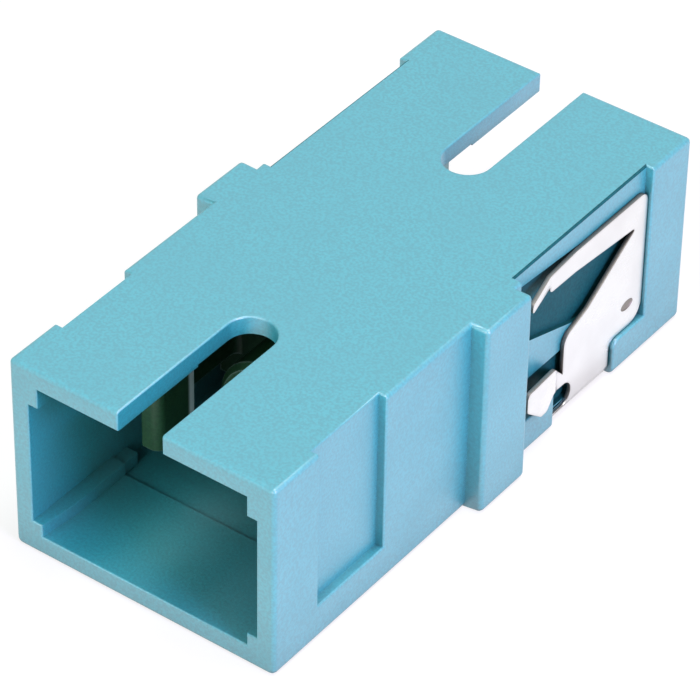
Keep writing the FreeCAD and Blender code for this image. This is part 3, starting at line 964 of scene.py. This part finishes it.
@dataclass
class LatchFrame:
    """Moulded latch frame of the front port: plate, spigot, sleeve barrel and two latch arms."""

    end: float
    sleeve_radius: float
    sleeve_half: float
    upper_rail: Pair
    lower_rail: Pair
    name: str = "latch_frame"
    plate_faces: Pair = (-2.2, -1.0)
    plate_half: Pair = (5.4, 3.6)
    spigot: Corner = (7.9, 4.9, 0.45)
    sleeve_gap: float = 0.05
    barrel_wall: float = 0.65
    barrel_lip: float = 0.55
    lip_overlap: float = 0.15
    lip_chamfer: float = 0.25
    latch_gap: float = 5.96
    latch_lift: float = 1.62
    arm_thickness: float = 0.7
    arm_height: float = 3.3
    arm_root: float = 0.4
    arm_margin: float = 0.5
    nose_depth: float = 4.8
    nose_width: float = 0.89
    nose_length: float = 2.26
    nose_taper: float = 2.25
    nose_radius: float = 0.45
    nose_edge_radius: float = 0.15
    edge_radius: float = 0.07

    def build(self) -> Piece:
        """Shape the frame.

        Returns:
            The finished piece.
        """
        face, back = self.plate_faces
        plate = railed_outline(self.plate_half, self.upper_rail, self.lower_rail)
        piece = add_prism(self.name, plate, Plane.FACING, face, back)
        across, high, radius = self.spigot
        outline = rectangle(across / 2, -high / 2, high / 2, radius)
        spigot = add_prism("spigot", outline, Plane.FACING, back - OVERLAP, 0)
        reach = self.sleeve_half + self.sleeve_gap + self.barrel_lip
        barrel_radius = self.sleeve_radius + self.sleeve_gap + self.barrel_wall
        barrel = self.turned_rod("barrel", barrel_radius, -reach, back, self.lip_chamfer)
        arm = self.arm()
        combine(piece, "UNION", spigot, barrel, arm, mirrored(arm))
        lip_radius = self.sleeve_radius - self.lip_overlap
        seat_end = -self.sleeve_half - self.sleeve_gap
        seat = add_rod("seat", self.sleeve_radius + self.sleeve_gap, seat_end, self.end)
        mouth = -reach - OVERLAP
        entry = self.turned_rod("entry", lip_radius, mouth, seat_end + OVERLAP, -self.lip_chamfer)
        combine(piece, "DIFFERENCE", seat, entry)
        soften(piece, self.edge_radius, 3, self.edge_share)
        return piece

    @staticmethod
    def turned_rod(name: str, radius: float, y_start: float, y_end: float, chamfer: float) -> Piece:
        """Rod on the axis whose front rim is chamfered, or flared where the chamfer is negative."""
        piece = add_rod(name, radius, y_start, y_end)
        front = y_start * MM
        depth = abs(chamfer) * MM
        share = 1 - chamfer / radius
        select_where(piece, "VERT", lambda vertex: abs(vertex.co.y - front) < WELD)
        bpy.ops.mesh.select_mode(type="FACE")
        bpy.ops.transform.translate(value=(0, depth, 0))
        bpy.ops.mesh.extrude_region_move(TRANSFORM_OT_translate={"value": (0, -depth, 0)})
        bpy.ops.transform.resize(value=(share, 1, share), center_override=(0, front, 0))
        bpy.ops.object.mode_set(mode="OBJECT")
        return settle(piece)

    def arm(self) -> Piece:
        """Right-hand latch arm, from the plate to the hooked nose that tapers in from it."""
        latch = self.latch_gap / 2
        inner = latch + self.latch_lift
        outer = inner + self.arm_thickness
        nose = self.nose_depth - self.end
        catch = nose + self.nose_length
        face, back = self.plate_faces
        rooted = (face + back) / 2
        plan = [
            (outer, rooted, 0),
            (inner - self.arm_root, rooted, 0),
            (inner - self.arm_root, face, 0),
            (inner, face, self.arm_root),
            (inner, catch, self.nose_edge_radius),
            (latch, catch, 0),
            (latch, nose, self.nose_radius),
            (latch + self.nose_width, nose, self.nose_edge_radius),
            (outer, nose + self.nose_taper, 0),
        ]
        high = self.arm_height / 2
        return add_prism("arm", plan, Plane.LEVEL, -high, high)

    def edge_share(self, edge: bmesh.types.BMEdge) -> float:
        """Full bevel on the arms in front of the plate, none elsewhere."""
        ahead = (self.plate_faces[0] - self.arm_margin) * MM
        beside = (self.latch_gap / 2 - self.arm_margin) * MM
        on_arm = all(vertex.co.y < ahead and abs(vertex.co.x) > beside for vertex in edge.verts)
        return 1.0 if on_arm else 0.0


@dataclass
class PanelClip:
    """Folded spring clip: strap, two side plates, their springs, fingers and dimples."""

    inner_face: float
    strap_face: float
    rear: float
    top: float
    foot: float
    collar_rear: float
    side: float
    name: str = "folded_clip"
    thickness: float = 0.2
    bend_radius: float = 0.3
    corner_radius: float = 0.5
    foot_radius: float = 0.9
    strap: Pair = (4.75, 8.85)
    strap_radius: float = 0.4
    stem: float = 5.45
    notch: Corner = (-4.15, -3.02, 6.1)
    notch_lip_radius: float = 0.15
    shoulder: Pair = (7.1, 0.0)
    shoulder_fall: float = 0.6
    shoulder_radius: float = 0.6
    slot_tip: Pair = (10.4, 2.09)
    slot_radius: float = 0.1
    spring_root: float = 6.0
    spring_root_width: float = 1.05
    spring_width: float = 0.85
    spring_lift: float = 0.12
    spring_bend_radius: float = 3.0
    spring_neck_radius: float = 0.25
    tip_start: float = 4.0
    tip_end: float = 2.15
    tip_width: float = 0.45
    tip_drop: float = 0.1
    tip_lift: float = 0.45
    tip_radius: float = 0.2
    tip_bend_radius: float = 0.9
    tip_step_radius: float = 0.12
    tip_slope_radius: float = 0.8
    finger_radius: float = 0.25
    finger_height: float = 1.82
    finger_root: Pair = (0.4, 0.62)
    finger_ramp: float = 0.7
    finger_bend_radius: float = 0.35
    finger_clearance: float = 0.05
    finger_flare: float = 0.1
    finger_gap: float = 0.7
    finger_shoulder: float = 1.2
    finger_throat: Pair = (1.1, 0.72)
    finger_heel: float = 1.55
    finger_ball: float = 1.1
    finger_toe_rise: float = 0.92
    dimple_inset: float = 1.1
    dimple_rise: float = 1.2
    dimple_size: Corner = (0.16, 0.85, 0.45)
    dimple_reach: float = 0.5
    edge_radius: float = 0.035
    edge_angle: float = 60.0

    @property
    def outer_face(self) -> float:
        """Distance from the middle to the outer faces of the side plates."""
        return self.inner_face + self.thickness

    def build(self) -> Piece:
        """Shape the clip.

        Returns:
            The finished piece.
        """
        piece = self.folded_band()
        combine(piece, "INTERSECT", self.side_trim())
        ends = [self.spring(), self.finger()]
        combine(piece, "UNION", *ends, *[mirrored(end) for end in ends])
        dimple = self.dimple()
        combine(piece, "DIFFERENCE", dimple, mirrored(dimple))
        least = math.radians(self.edge_angle)
        soften(piece, self.edge_radius, 2, lambda edge: float(edge.calc_face_angle() > least))
        return piece

    def folded_band(self) -> Piece:
        """Folded sheet before it is trimmed: a strip under the housing and up both sides."""
        inner, outer = self.inner_face, self.outer_face
        low, high = self.strap_face, self.top + SPARE
        outside = self.bend_radius + self.thickness
        section = [(-outer, low - self.thickness, outside), (outer, low - self.thickness, outside)]
        section += [(outer, high, 0), (inner, high, 0)]
        section += [(inner, low, self.bend_radius), (-inner, low, self.bend_radius)]
        section += [(-inner, high, 0), (-outer, high, 0)]
        return add_prism(self.name, section, Plane.FACING, self.collar_rear, self.rear)

    def side_trim(self) -> Piece:
        """Side view of the clip without its lifted ends: plate, slot, shoulder, stem, notch and strap."""
        strap_front, strap_rear = self.strap
        notch_low, notch_top, notch_end = self.notch
        notch_radius = (notch_top - notch_low) / 2
        low = self.strap_face - 2 * SPARE
        outline = [
            (self.rear, self.top, self.corner_radius),
            (self.rear, self.foot, self.foot_radius),
            (strap_rear, self.foot, self.strap_radius),
            (strap_rear, low, 0),
            (strap_front, low, 0),
            (strap_front, notch_low, self.notch_lip_radius),
            (notch_end, notch_low, notch_radius),
            (notch_end, notch_top, notch_radius),
            (self.stem, notch_top, 0),
            (self.stem, self.shoulder[1] - self.shoulder_fall, self.shoulder_radius),
            (*self.shoulder, 0),
            (*self.slot_tip, self.slot_radius),
            (self.spring_root, self.top - self.spring_root_width, 0),
            (self.spring_root, self.top, 0),
        ]
        return add_prism("side_trim", outline, Plane.SIDEWAYS, -self.side * 2, self.side * 2)

    def strip(self, name: str, path: list[Corner], outline: list[Corner]) -> Piece:
        """Right-hand strip of sheet that follows a path and is trimmed to an outline.

        Args:
            name: Name of the strip.
            path: Its inner face seen from above, as (x, y, bend radius).
            outline: Its side view.

        Returns:
            The strip.
        """
        outer = [(x + self.thickness, y, radius) for x, y, radius in reversed(path)]
        sheet = add_prism(name, path + outer, Plane.LEVEL, self.strap_face, self.top + SPARE)
        trim = add_prism("trim", outline, Plane.SIDEWAYS, 0, self.side * 2)
        return combine(sheet, "INTERSECT", trim)

    def spring(self) -> Piece:
        """Spring strip that runs forward to a lifted tip behind the collar."""
        root = self.spring_root
        lifted = self.inner_face + self.spring_lift
        path = [
            (self.inner_face, root + OVERLAP, 0),
            (self.inner_face, root, self.spring_bend_radius),
            (lifted, self.tip_start, self.tip_bend_radius),
            (lifted + self.tip_lift, self.tip_end, 0),
        ]
        root_low = self.top - self.spring_root_width
        tip_top = self.top - self.tip_drop
        tip_low = tip_top - self.tip_width
        outline = [
            (root + OVERLAP, self.top, 0),
            (root + OVERLAP, root_low, 0),
            (root, root_low, 0),
            (self.tip_start, self.top - self.spring_width, self.spring_neck_radius),
            (self.tip_start, tip_low, self.tip_step_radius),
            (self.tip_end, tip_low, self.tip_radius),
            (self.tip_end, tip_top, self.tip_radius),
            (self.tip_start, self.top, self.tip_slope_radius),
        ]
        return self.strip("spring", path, outline)

    def finger(self) -> Piece:
        """Finger that steps out over the housing's side and runs forward to the collar."""
        root_length, root_height = self.finger_root
        throat_reach, throat_rise = self.finger_throat
        radius = self.finger_radius
        stepped = self.side + self.finger_clearance
        ramp = self.stem - root_length
        end = self.collar_rear + self.finger_gap
        path = [
            (self.inner_face, self.stem + OVERLAP, 0),
            (self.inner_face, ramp, radius),
            (stepped, ramp - self.finger_ramp, self.finger_bend_radius),
            (stepped + self.finger_flare, end, 0),
        ]
        low = self.notch[1]
        top = low + self.finger_height
        outline = [
            (self.stem + OVERLAP, low + root_height, 0),
            (self.stem + OVERLAP, low, 0),
            (ramp, low, radius),
            (self.stem - throat_reach, low + throat_rise, radius),
            (end + self.finger_heel, low, radius),
            (end + self.finger_ball, low, radius),
            (end, low + self.finger_toe_rise, radius),
            (end, top, radius),
            (self.stem - self.finger_shoulder, top, radius),
            (self.stem, low + root_height, 0),
        ]
        return self.strip("finger", path, outline)

    def dimple(self) -> Piece:
        """Shallow oval pressed into the outer face of the right-hand plate."""
        place = Vector((self.outer_face, self.rear - self.dimple_inset, self.foot + self.dimple_rise)) * MM
        bpy.ops.mesh.primitive_uv_sphere_add(segments=32, ring_count=16, radius=0.5, location=place)
        bpy.context.object.scale = Vector(self.dimple_size) * MM
        return named("dimple")

    def is_cut_edge_or_dimple(self, face: bpy.types.MeshPolygon) -> bool:
        """Whether a face takes the darker finish: the sheet's cut edges, duller as cut and darker by
        painted shade, and the pressed dimples, darker by painted shade.
        """
        across, along, up = (value / MM for value in face.center)
        cut_end = abs(face.normal.y) > MOSTLY
        cut_rim = abs(face.normal.x) < HALF_TURNED and up > self.strap_face + 2 * self.thickness
        tilted = abs(face.normal.y) + abs(face.normal.z) > TILTED
        near_dimple = abs(along - self.rear + self.dimple_inset) < self.dimple_reach
        sunk = self.inner_face < abs(across) < self.outer_face - SKIN
        return cut_end or cut_rim or (tilted and near_dimple and sunk)


@dataclass(frozen=True)
class SoftBox:
    """Square area lamp that faces the origin, its power in watts."""

    name: str
    place: Corner
    size: float
    power: float
    colour: Rgb

    def build(self) -> None:
        """Hang the lamp."""
        light = bpy.data.lights.new(self.name, "AREA")
        light.size = self.size
        light.energy = self.power
        light.color = self.colour
        lamp = bpy.data.objects.new(self.name, light)
        lamp.location = self.place
        lamp.rotation_euler = Vector(self.place).to_track_quat("Z", "Y").to_euler()
        bpy.context.scene.collection.objects.link(lamp)


LAMPS = (
    SoftBox("soft_box", (60 * MM, 40 * MM, 400 * MM), 0.16, 0.7, (1.0, 1.0, 0.98)),
    SoftBox("right_fill", (330 * MM, -60 * MM, 160 * MM), 0.12, 1.0, (0.75, 0.6, 1.0)),
    SoftBox("front_fill", (20 * MM, -365 * MM, 180 * MM), 0.16, 0.6, (1.0, 0.99, 0.97)),
)


@dataclass(frozen=True)
class Studio:
    """Plain pale floor, white surroundings, soft lamps and a long-lens camera."""

    floor_height: float
    floor_size: float = 3.0
    paper: Rgb = linear(190, 190, 190)
    shadow_share: float = 0.3
    glow_loss: float = 0.8
    sky_fill: float = 0.3
    sky_seen: float = 0.75
    aim: Corner = (-0.1 * MM, -0.53 * MM, -0.44 * MM)
    distance: float = 172.37 * MM
    azimuth: float = 36.12
    elevation: float = 39.05
    roll: float = 0.998
    focal_length: float = 221.27
    sensor_width: float = 36.0

    def build(self) -> None:
        """Make the floor, the world, the lamps and the camera."""
        self.build_floor()
        self.build_world()
        for lamp in LAMPS:
            lamp.build()
        self.build_camera()
        bpy.context.scene.view_settings.view_transform = "Standard"

    def build_floor(self) -> None:
        """Floor that is white to the camera apart from the object's soft shadow."""
        bpy.ops.mesh.primitive_plane_add(size=self.floor_size, location=(0, 0, self.floor_height))
        floor = bpy.context.object
        floor.name = "studio_floor"
        material, wiring = new_material("floor_paper")
        seen = self.seen_share(wiring)
        paper = wiring.add("BsdfDiffuse", Color=self.paper)
        shaded = wiring.add("BsdfDiffuse", Color=(self.shadow_share,) * 3)
        strength = 1.0 - self.shadow_share * self.glow_loss
        glow = wiring.add("Emission", Color=(1.0, 1.0, 1.0), Strength=strength)
        white = wiring.add("AddShader", **{"0": shaded.outputs[0], "1": glow.outputs[0]})
        choice = wiring.add("MixShader", **{"0": seen, "1": paper.outputs[0], "2": white.outputs[0]})
        wiring.add("OutputMaterial", Surface=choice.outputs[0])
        floor.data.materials.append(material)

    @staticmethod
    def seen_share(wiring: Wiring) -> Socket:
        """1 for what the camera sees directly, in a reflection or through glass."""
        path = wiring.add("LightPath")
        glossy, through = path.outputs["Is Glossy Ray"], path.outputs["Is Transmission Ray"]
        reflected = wiring.maths("MAXIMUM", glossy, through)
        return wiring.maths("MAXIMUM", path.outputs["Is Camera Ray"], reflected)

    def build_world(self) -> None:
        """World that is white where it is seen and a soft fill elsewhere."""
        world = bpy.data.worlds.new("studio_world")
        bpy.context.scene.world = world
        world.use_nodes = True
        wiring = Wiring(world.node_tree)
        seen = self.seen_share(wiring)
        strength = wiring.add("MapRange", Value=seen, To_Min=self.sky_fill, To_Max=self.sky_seen)
        sky = wiring.add("Background", Color=(1.0, 1.0, 1.0), Strength=strength.outputs["Result"])
        wiring.add("OutputWorld", Surface=sky.outputs[0])

    def build_camera(self) -> None:
        """Long-lens camera above the front right corner."""
        turn = math.radians(self.azimuth)
        rise = math.radians(self.elevation)
        back = Vector((math.sin(turn) * math.cos(rise), -math.cos(turn) * math.cos(rise), math.sin(rise)))
        lens = bpy.data.cameras.new("camera")
        lens.lens = self.focal_length
        lens.sensor_width = self.sensor_width
        lens.clip_start = 10 * MM
        camera = bpy.data.objects.new("camera", lens)
        upright = back.to_track_quat("Z", "Y").to_matrix()
        edge_shaded = upright @ Matrix.Rotation(math.radians(self.roll), 3, "Z")
        camera.matrix_world = Matrix.Translation(Vector(self.aim) + back * self.distance) @ edge_shaded.to_4x4()
        bpy.context.scene.collection.objects.link(camera)
        bpy.context.scene.camera = camera


AQUA = MouldedPlastic(
    name="aqua_plastic",
    colour=linear(40, 183, 195),
    shade=linear(30, 157, 169),
    # The paler edge colour is a painted highlight.
    edge=linear(110, 215, 226),
    specular=1.0,
    ior=1.85,
    coat=1.0,
)
SHADED_AQUA = MouldedPlastic(
    name="shaded_aqua_plastic",
    colour=linear(16, 102, 108),
    shade=linear(10, 82, 88),
    edge=linear(50, 126, 132),
    roughness=0.6,
    specular=0.3,
    hollow_shade=(0.6, 0.7, 0.7),
)
AMBER = MouldedPlastic(
    name="amber_plastic",
    colour=linear(46, 92, 56),
    shade=linear(32, 74, 44),
    # The pale edge colour, mixed in strongly, is a painted highlight on the frame's edges.
    edge=linear(200, 222, 214),
    hollow_shade=(0.5, 0.6, 0.6),
    edge_share=0.9,
    # Pale stretch at the catches: a painted highlight.
    catch_highlight=linear(226, 240, 238),
)
CERAMIC = MouldedPlastic(
    name="ceramic",
    colour=linear(238, 238, 230),
    shade=linear(226, 226, 216),
    edge=linear(250, 250, 246),
    roughness=0.2,
)
# The second colour darkens clouds at random and gives the painted shade at the edges.
STEEL = SpringSteel("spring_steel", (0.91, 0.91, 0.91), (0.64, 0.63, 0.63))
# Darker finish for the cut edges, duller as cut and darker by painted shade, and for the dimples, where the
# dark is painted shade.
DULL_EDGE_AND_DIMPLE_SHADE = SpringSteel("dull_edge_and_dimple_shade", (0.38, 0.36, 0.32), (0.26, 0.24, 0.22), 0.5)


def dress(
    piece: Piece,
    node: str,
    finish: MouldedPlastic | SpringSteel,
    second: MouldedPlastic | SpringSteel | None = None,
    takes_second: Callable[[bpy.types.MeshPolygon], bool] | None = None,
) -> None:
    """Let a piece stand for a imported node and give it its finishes.

    Args:
        piece: The new piece.
        node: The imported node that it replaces.
        finish: The piece's finish.
        second: A second finish for some of its faces.
        takes_second: Picks the faces that take the second finish.
    """
    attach(piece, BODY)
    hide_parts(node)
    piece.data.materials.clear()
    piece.data.materials.append(finish.material())
    if second and takes_second:
        piece.data.materials.append(second.material())
        for polygon in piece.data.polygons:
            polygon.material_index = int(takes_second(polygon))
    log.info("%s: %d faces for %s", piece.name, len(piece.data.polygons), node)


def span(node: str) -> tuple[Vector, Vector]:
    """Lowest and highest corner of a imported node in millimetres."""
    low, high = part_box(node)
    return Vector(low) / MM, Vector(high) / MM


def main() -> None:
    """Build the pieces, dress them and light them."""
    logging.basicConfig(level=logging.INFO, format="%(name)s: %(message)s")
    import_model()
    low, high = span("outer_housing")
    size = high - low
    housing = Housing(length=size.y, height=size.z, collar_width=size.x)
    dress(housing.build(), "outer_housing", AQUA, SHADED_AQUA, housing.is_behind_clip)
    _, sleeve_high = span("split_sleeve")
    sleeve = SplitSleeve(length=2 * sleeve_high.y, radius=sleeve_high.x)
    dress(sleeve.build(), "split_sleeve", CERAMIC)
    frame = LatchFrame(
        end=housing.end,
        sleeve_radius=sleeve.radius,
        sleeve_half=sleeve.length / 2,
        upper_rail=housing.upper_rail,
        lower_rail=housing.lower_rail,
    ).build()
    rear_frame = reversed_copy(frame)
    dress(frame, "front_latch_frame", AMBER)
    dress(rear_frame, "rear_latch_frame", AMBER)
    clip_low, clip_high = span("panel_clip")
    clip = PanelClip(
        inner_face=housing.recess_floor + CLIP_GAP,
        strap_face=clip_low.z + PanelClip.thickness,
        rear=clip_high.y,
        top=clip_high.z,
        foot=housing.sill + FOOT_GAP,
        collar_rear=housing.collar_rear,
        side=housing.width / 2,
    )
    dress(clip.build(), "panel_clip", STEEL, DULL_EDGE_AND_DIMPLE_SHADE, clip.is_cut_edge_or_dimple)
    Studio(floor_height=(low.z - FLOOR_GAP) * MM).build()


if __name__ == "__main__":
    main()
